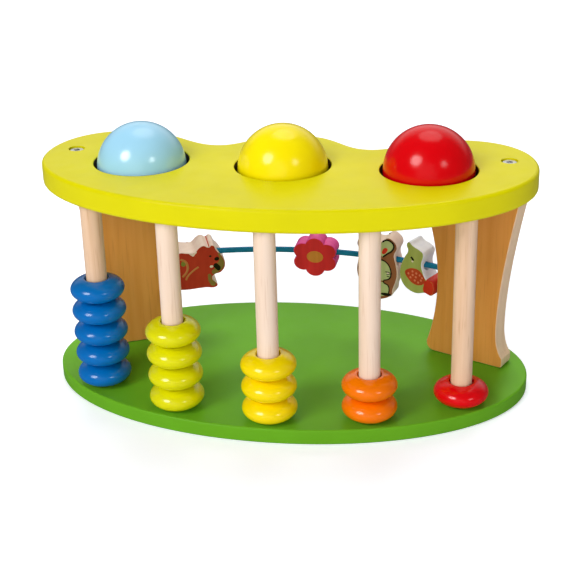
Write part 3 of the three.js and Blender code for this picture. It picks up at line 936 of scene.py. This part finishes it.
def crease(spot, paint, radius):
    """A thin line of paint in a valley of the sides, from front to back."""
    back = FIGURE_FRONT - FIGURE_THICKNESS + FIGURE_EDGE
    front = FIGURE_FRONT - FIGURE_EDGE
    line = turn([(0, back), (radius, back), (radius, front), (0, front)], CREASE_FACETS)
    return moved(line, (*spot, 0)), paint


def on_both_faces(marks):
    """The marks and their mirror images on the back. A crease already reaches both faces."""
    painted = list(marks)
    for shape, paint in marks:
        if min(vertex.co.z for vertex in shape.verts) > FIGURE_MIDDLE:
            image = shape.copy()
            bmesh.ops.scale(image, vec=(1, 1, -1), verts=image.verts)
            bmesh.ops.reverse_faces(image, faces=image.faces)
            painted.append((moved(image, (0, 0, 2 * FIGURE_MIDDLE)), paint))
    return painted


print("marks stand", PROUD, "mm proud for each layer")

# %% [markdown]
# A figure is drawn as it hangs, u along the wire and w up from it. Some of its sides may take a
# third paint: a red tail on the bird, and crimson in the flower's valleys that is partly painted
# shade. Then it is put in its place on the arc, and the bore for the wire is drilled along that arc.
# The bore is wider than the wire, so the figure hangs a little low.

# %% Saw and hang a figure
FIGURE_HANG = 0.65
FIGURE_PLAY = 0.95
BORE_RADIUS = WIRE_RADIUS + FIGURE_PLAY


def hang_figure(
    node, line, paints, marks, end, inset, turned=0, lean=0, squash=1, drop=0, third_paint_or_shade=None
):
    """Saws and marks a figure, and hangs it on the wire this far from one of the wire's ends."""
    plate = saw(line, FIGURE_THICKNESS, steps=6, edge=FIGURE_EDGE, edge_steps=2)
    plate.normal_update()
    for face in plate.faces:
        # The third paint is a real red on the bird's tail, and partly painted shade in the flower's
        # valleys.
        side = 2 if third_paint_or_shade and third_paint_or_shade(face.calc_center_median().xy) else 1
        face.material_index = 0 if abs(face.normal.z) > FLAT_FACE else side
    bmesh.ops.scale(plate, vec=(1, squash, 1), verts=plate.verts)
    bmesh.ops.translate(plate, vec=(0, -drop, FIGURE_FRONT - FIGURE_THICKNESS), verts=plate.verts)
    angle = end * (TOE - inset / WIRE_BEND)
    spot = WIRE_CENTRE + WIRE_BEND * Vector((math.sin(angle), math.cos(angle), 0))
    place = Matrix.Translation(spot) @ Matrix.Rotation(-angle - math.radians(turned), 4, "Z")
    place = place @ Matrix.Rotation(math.pi / 2 + math.radians(lean), 4, "X")
    bmesh.ops.transform(plate, matrix=place, verts=plate.verts)
    bore = in_paint(wire_tube(BORE_RADIUS, WIRE_REACH, BORE_FACETS), 1)
    shapes = [carve(plate, [bore])]
    for shape, paint in on_both_faces(marks):
        if paint not in paints:
            paints.append(paint)
        bmesh.ops.transform(shape, matrix=place, verts=shape.verts)
        shapes.append(in_paint(shape, paints.index(paint)))
    whole = moved(gather(shapes), (0, 0, -FIGURE_HANG))
    figure = keep_piece(f"sliding_{node}", whole, node, paints)
    print(figure.name, len(figure.data.polygons), "faces,", len(marks), "marks")


print("figures are", FIGURE_THICKNESS, "mm thick")

# %% [markdown]
# The squirrel: one line for its back, ears, snout, paws and tail. Then come its eye, nose, mouth,
# muzzle and paw, two strokes on its tail, and the crease between its ears, which runs to the back.

# %% Squirrel
EARS = (7.3, 6.4)
SQUIRREL = [
    (17.4, -8), (15.4, -1.1), (11.7, 4), (10.3, 7), (8.5, 7.6), EARS, (3.8, 7.9), (1.2, 6.7),
    (-2.4, 3.2), (-6.9, 3.6), (-11, 4.2), (-15.6, 0.5), (-16.8, -9), (-15.4, -22.5), (-10.3, -23.9),
    (4.5, -23.9), (12, -24), (12.6, -22.6), (9.3, -17), (10.2, -15), (15, -13.1),
]
MUZZLE = [
    (13.2, 1.2), (14.9, -1.6), (16.5, -5.6), (16.2, -9.4), (13.6, -12.3), (9.6, -14), (8.9, -11.5),
    (10.6, -9.6), (10.3, -7), (12.8, -5.4), (13.7, -2.5),
]
PAW = [
    (6.9, -13.6), (8.6, -14.8), (8.4, -17), (11.3, -21.8), (9.8, -23.1), (7.2, -20), (6.4, -16.2),
]
MOUTH = [(9.9, -7.4), (11.2, -6), (13.3, -7.6), (14.4, -9.6), (13.3, -11.8), (11.4, -10.2)]
NOTCH = [(-4.9, 2.9), (-4, 1.7), (-2.6, 0.8), (-1.5, 2), (-0.4, 3.9), (-2.4, 2.7)]
TAIL_CURL = [(-10.6, -0.6), (-7.8, -2.2), (-6.2, -6.3), (-6.9, -10.5), (-9.4, -13.9)]
TAIL_STROKE = [(0.6, -7.4), (-3.3, -10.4), (-6.3, -13.8), (-7.4, -16.4)]
squirrel_marks = [
    island(MUZZLE, KHAKI),
    island(PAW, KHAKI),
    island(NOTCH, CREAM_PINK),
    island(MOUTH, BLACK, OVER),
    island(oval(12, -2.8, 1.5, 1.4), BLACK, OVER),
    island(oval(8, -0.4, 0.75, 0.75), BLACK),
    island(oval(8.7, -8.2, 1.1, 0.9), CREAM, OVER),
    island(oval(-8.7, -4, 1.5, 2), MOSS),
    brush_line(TAIL_CURL, TAN, width=1.5, layer=OVER),
    brush_line(TAIL_STROKE, TAN, width=1.3),
    crease(EARS, RUST, radius=0.32),
]
squirrel_paints = [RUSSET, CREAM_PINK]
hang_figure(
    "squirrel", SQUIRREL, squirrel_paints, squirrel_marks, end=-1, inset=21.7, turned=-4.2, lean=12
)

# %% [markdown]
# The flower: six petals with sharp valleys between them, a little flattened, with an ochre middle.
# A petal is an arc, drawn with a knot in its valley and a knot at its tip. The sides are magenta,
# and in the valleys they are crimson, partly a darker paint and partly painted shade.

# %% Flower
PETALS = 6
PETAL_RING = 8.4
PETAL_RADIUS = 5.92
PETAL_SWEEP = math.radians(74.8)
SHADED_VALLEY_RADIUS = 10.4


def bearing(angle):
    return Vector((math.cos(angle), math.sin(angle)))


def flower_line():
    step = 2 * math.pi / PETALS
    quarter = math.pi / 2
    arm = 4 / 3 * math.tan(PETAL_SWEEP / 4) * PETAL_RADIUS
    knots = []
    for i in range(PETALS):
        middle = quarter + i * step
        start = middle - PETAL_SWEEP
        before = middle - step + PETAL_SWEEP
        valley = bearing(middle) * PETAL_RING + bearing(start) * PETAL_RADIUS
        tip = bearing(middle) * (PETAL_RING + PETAL_RADIUS)
        along = bearing(middle + quarter) * arm
        come, leave = (bearing(turned + quarter) * arm for turned in (before, start))
        knots.append((valley, valley - come, valley + leave))
        knots.append((tip, tip - along, tip + along))
    return [tuple(tuple(point) for point in knot) for knot in knots]


# Partly painted shade: side faces this near the middle, in the valleys, take the crimson.
def in_shaded_valley(spot):
    return spot.length < SHADED_VALLEY_RADIUS


flower_paints = [POPPY, MAGENTA, VALLEY_CRIMSON_AND_SHADE]
flower_marks = [island(oval(0.1, -1.7, 5.1, 3.8), OCHRE)]
hang_figure(
    "flower", flower_line(), flower_paints, flower_marks, end=1, inset=80.8, squash=0.88, drop=2,
    third_paint_or_shade=in_shaded_valley,
)

# %% [markdown]
# The monkey is the same left and right, so half of its line and half of its marks are drawn, and
# the other half is their mirror. A thick black line runs round each ear, the face and the belly,
# and thin strokes stand for its whiskers.

# %% Monkey
MONKEY_HALF = [
    (9, -22.5), (10.4, -17.5), (12.9, -8.5), (12.2, -1.5), (11, 4.4), (12.7, 10), (10, 14.2),
    (6.6, 15.4), (3.2, 12.6),
]
FACE_HALF = [(0, 1), (3.9, 0.5), (6.7, -1.3), (8.6, -4.9), (8.9, -8.1), (8.2, -10.6), (4.2, -12.6)]
BELLY_HALF = [(4.4, -14), (7, -15.5), (7.8, -18.2), (7.4, -21)]
EAR = [
    (3.3, 12.4), (6.1, 13.9), (9, 13), (10.5, 10.8), (9.5, 7.6), (6.5, 5.1), (3.8, 2.8), (2.3, 7.5),
]
EAR_SPOT = [(3.5, 4.8), (3.7, 7.4), (5.2, 8.8), (6.6, 8.3), (6.2, 6.4), (4.8, 4.9)]
WHISKERS = [[(5.4, -6.7), (8.2, -6.9)], [(6.2, -8.3), (9.7, -7.4)], [(6.3, -9.5), (8.5, -9.9)]]


def flipped(points, side=-1):
    return [(side * u, w) for u, w in points]


def both_halves(half):
    return half + flipped(reversed(half))


monkey_marks = [
    island(both_halves(FACE_HALF[1:]), PALE_OLIVE),
    island(both_halves(BELLY_HALF), PALE_OLIVE),
]
for side in (-1, 1):
    monkey_marks += [
        island(flipped(EAR, side), PALE_OLIVE),
        island(flipped(EAR_SPOT, side), FLAME, OVER),
        brush_line(flipped(EAR[:-1], side), BLACK, width=1.1, layer=OVER),
        brush_line(flipped(FACE_HALF, side), BLACK, width=0.9, layer=OVER),
        brush_line(flipped([FACE_HALF[-1], *BELLY_HALF], side), BLACK, width=0.8, layer=OVER),
        island(oval(side * 7.1, -7.5, 0.8, 0.5), CREAM, OVER),
        island(oval(side * 5.9, -21.6, 3.3, 1), BLACK, OVER),
    ]
    monkey_marks += [
        brush_line(flipped(stroke, side), BLACK, width=0.6, layer=OVER) for stroke in WHISKERS
    ]
monkey_paints = [BROWN, PALE_SIDE]
hang_figure("monkey", both_halves(MONKEY_HALF), monkey_paints, monkey_marks, end=1, inset=40.9)

# %% [markdown]
# The bird looks to the left, with a slanted eye, a spotted wing and a tail that is red all round.

# %% Bird
BIRD = [
    (-4.5, 14.8), (-6.2, 12.8), (-5.2, 9), (-7.5, 4.5), (-10.5, -2.9), (-10.7, -7.5), (-8, -13.9),
    (-1.4, -17.2), (3, -17), (7.4, -15.6), (11.5, -16.4), (12.9, -15), (12.9, -8.4), (11.6, -7),
    (8.2, -6.5), (5.2, -1), (4.6, 1.6), (5.6, 9.6), (3.7, 11), (-1.5, 13),
]
WING = [
    (-6.8, -4.8), (-4.5, -2.5), (-1, -1.4), (2.8, -1.8), (5.4, -3.9), (7.4, -7.6), (6.7, -9.4),
    (3.4, -11.4), (-0.8, -11.3), (-4.4, -9),
]
TAIL = [
    (7.6, -7.4), (6.6, -10), (6.7, -14.8), (8, -15.3), (11.4, -15.9), (12.5, -14.8), (12.5, -8.6),
    (11.3, -7.4), (9, -7.1),
]
WING_DOTS = [
    (-4.4, -5.5), (-1.5, -3.5), (1.2, -4.2), (-2.9, -7.7), (-1.3, -5.8), (0.9, -6.7), (3.6, -4.9),
    (0.2, -9), (2.6, -9.8), (4.5, -8), (5.2, -6.2),
]
EYE_SLANT = [(-2.9, 5.5), (-1.9, 4.8), (-0.9, 3.6)]
DOT = 0.7
TAIL_ROOT = 8.0


def on_tail(spot):
    return spot.x > TAIL_ROOT


bird_marks = [
    island(WING, RUST),
    island(TAIL, FLAME, OVER),
    brush_line(EYE_SLANT, BLACK, width=1.4),
    island(oval(-1.7, 2.9, 0.7, 0.6), CREAM, OVER),
]
bird_marks += [island(oval(u, w, DOT, DOT), PALE_RUST, OVER) for u, w in WING_DOTS]
bird_paints = [OLIVE, LAVENDER, FLAME]
hang_figure("bird", BIRD, bird_paints, bird_marks, end=1, inset=15.4, turned=8.5, third_paint_or_shade=on_tail)

# %% [markdown]
# Socket screws hold the boards to the legs. The head is turned with a small chamfer, and a hexagon
# is pressed into it: a plate with six sides, taken out with the boolean.

# %% Screws
KEY_RADIUS = 2.0
KEY_DEPTH = 1.6
HEAD_CHAMFER = 0.4
SCREW_TIP = 3.0
SCREW_FACETS = 40


def socket_screw(length):
    rim, face = HEAD_HEIGHT - HEAD_CHAMFER, HEAD_RADIUS - HEAD_CHAMFER
    line = [
        (0, -length), (SHANK_RADIUS, SCREW_TIP - length), (SHANK_RADIUS, 0), (HEAD_RADIUS, 0),
        (HEAD_RADIUS, rim), (face, HEAD_HEIGHT), (0, HEAD_HEIGHT),
    ]
    key = oval_plate(KEY_RADIUS, KEY_RADIUS, KEY_DEPTH * 2, facets=6)
    return carve(turn(line, SCREW_FACETS), [moved(key, (0, 0, HEAD_HEIGHT - KEY_DEPTH))])


for board_name in ("top", "base"):
    for i in SCREWS:
        node = f"screw_{board_name}_{i}"
        low, high = box_mm(node)
        screw = seated(socket_screw(high.z - low.z - HEAD_HEIGHT), node, board_name == "top")
        keep_piece(f"socket_screw_{board_name}_{i}", screw, node, [STEEL])
    print(len(SCREWS), "screws in the", board_name, "board,", round(high.z - low.z, 1), "mm long")

# %% [markdown]
# The toy stands in a white studio. To the eye the studio is white all round. As a light and in
# reflections only the backdrop behind the toy is white, from a little above the floor, and the room
# in front is dim, so that the flat tops shine and the walls keep their colour.

# %% Room
WHITE = (1, 1, 1, 1)
ROOM_LIGHT = 0.44
ROOM_FRONT = (0.1, 0.1, 0.1, 1)
BACK_SPAN = (0.5, 0.9)
RISE_SPAN = (0.1, 0.3)


def joined(tree, operation, first, second):
    """Makes one share of two: MAXIMUM for either of them, MULTIPLY for both."""
    node = tree.nodes.new("ShaderNodeMath")
    node.operation = operation
    tree.links.new(first, node.inputs[0])
    tree.links.new(second, node.inputs[1])
    return node.outputs[0]


def backdrop(tree):
    """1 for a ray that leaves to the back and a little upwards, 0 for the others."""
    way = tree.nodes.new("ShaderNodeTexCoord")
    parts = tree.nodes.new("ShaderNodeSeparateXYZ")
    tree.links.new(way.outputs["Generated"], parts.inputs["Vector"])
    back = spread(tree, parts.outputs["Y"], 0, 1, *BACK_SPAN)
    rise = spread(tree, parts.outputs["Z"], 0, 1, *RISE_SPAN)
    return joined(tree, "MULTIPLY", back, rise)


room = bpy.data.worlds.new("white studio")
bpy.context.scene.world = room
room.use_nodes = True
tree = room.node_tree
glow = tree.nodes["Background"]
path = tree.nodes.new("ShaderNodeLightPath")
eye = path.outputs["Is Camera Ray"]
seen = joined(tree, "MAXIMUM", eye, path.outputs["Is Glossy Ray"])
bright = joined(tree, "MAXIMUM", eye, backdrop(tree))
tree.links.new(two_tones(tree, bright, ROOM_FRONT, WHITE), glow.inputs["Color"])
tree.links.new(spread(tree, seen, ROOM_LIGHT, 1, 0, 1), glow.inputs["Strength"])
print("room light:", ROOM_LIGHT)

# %% [markdown]
# The floor is pale. It is lifted to white for the eye, still takes the toy's soft shadow, and is
# mirrored as a dark one, as the dim room is.

# %% Floor
FLOOR_LIFT = 0.45
FLOOR_TONES = chart(229, 231, 239), chart(233, 235, 243)
FLOOR_MIRRORED = (0.12, 0.12, 0.12, 1)
FLOOR_LUMPS = 3
FLOOR_ROUGH = 0.9
FLOOR_HALF = 4.0
FLOOR_TILES = 8

floor_paint, tree, shader = start_material("pale floor")
speckle = spread(tree, cloud(tree, FLOOR_LUMPS), 0, 1)
tones = two_tones(tree, speckle, *FLOOR_TONES)
path = tree.nodes.new("ShaderNodeLightPath")
tones = two_tones(tree, path.outputs["Is Glossy Ray"], tones, FLOOR_MIRRORED)
tree.links.new(tones, shader.inputs["Base Color"])
shader.inputs["Roughness"].default_value = FLOOR_ROUGH
shader.inputs["Specular IOR Level"].default_value = 0.0
shader.inputs["Emission Color"].default_value = WHITE
eye = path.outputs["Is Camera Ray"]
tree.links.new(spread(tree, eye, 0, FLOOR_LIFT, 0, 1), shader.inputs["Emission Strength"])

plain = bmesh.new()
bmesh.ops.create_grid(plain, x_segments=FLOOR_TILES, y_segments=FLOOR_TILES, size=FLOOR_HALF)
floor_mesh = bpy.data.meshes.new("studio_floor")
plain.to_mesh(floor_mesh)
plain.free()
floor_mesh.materials.append(floor_paint)
floor = bpy.data.objects.new("studio_floor", floor_mesh)
bpy.context.scene.collection.objects.link(floor)
print("floor", 2 * FLOOR_HALF, "m wide")

# %% [markdown]
# Five soft lamps: the main one high on the left in front, a faint one on the right for the second
# glint, a very broad one low in front that reaches under the top board, and two above and behind.
# A sun lamp with a wide angle is as soft as a softbox and lights the floor evenly. The low one and
# the broader of the rear ones only fill the shadows, so they leave no glint in the paint.

# %% Lamps
def softbox(name, azimuth, elevation, strength, width, glint=True):
    """A lamp seen from the toy at these angles: 0 is the front, and 90 the right side."""
    lamp = bpy.data.lights.new(name, "SUN")
    lamp.energy = strength
    lamp.angle = math.radians(width)
    holder = bpy.data.objects.new(name, lamp)
    a, e = math.radians(azimuth), math.radians(elevation)
    towards = Vector((math.sin(a) * math.cos(e), -math.cos(a) * math.cos(e), math.sin(e)))
    holder.rotation_euler = towards.to_track_quat("Z", "Y").to_euler()
    holder.visible_glossy = glint
    bpy.context.scene.collection.objects.link(holder)
    return holder


lamps = [
    softbox("main lamp", azimuth=-38, elevation=38, strength=1.45, width=25),
    softbox("side lamp", azimuth=47, elevation=30, strength=0.26, width=14),
    softbox("low fill", azimuth=-3, elevation=13, strength=1.52, width=50, glint=False),
    softbox("sky lamp", azimuth=-178, elevation=50, strength=1.52, width=54, glint=False),
    softbox("top lamp", azimuth=180, elevation=66, strength=0.5, width=38),
]
print("lamps:", len(lamps))

# %% [markdown]
# The camera looks down from the right of the middle with a long lens, a little rolled.

# %% Camera
LENS, SENSOR = 82.12, 36
EYE_SPOT = (0.12312, -0.69501, 0.37610)
EYE_AZIMUTH = math.radians(9.97)
EYE_ELEVATION = math.radians(24.45)
EYE_ROLL = math.radians(-1.437)

camera_data = bpy.data.cameras.new("eye")
camera_data.lens = LENS
camera_data.sensor_width = SENSOR
camera = bpy.data.objects.new("eye", camera_data)
bpy.context.scene.collection.objects.link(camera)
look = Matrix.Rotation(EYE_AZIMUTH, 4, "Z") @ Matrix.Rotation(math.pi / 2 - EYE_ELEVATION, 4, "X")
look = look @ Matrix.Rotation(EYE_ROLL, 4, "Z")
camera.matrix_world = Matrix.Translation(EYE_SPOT) @ look
bpy.context.scene.camera = camera
bpy.context.scene.view_settings.view_transform = "Standard"
print("camera", [round(value, 3) for value in camera.location])
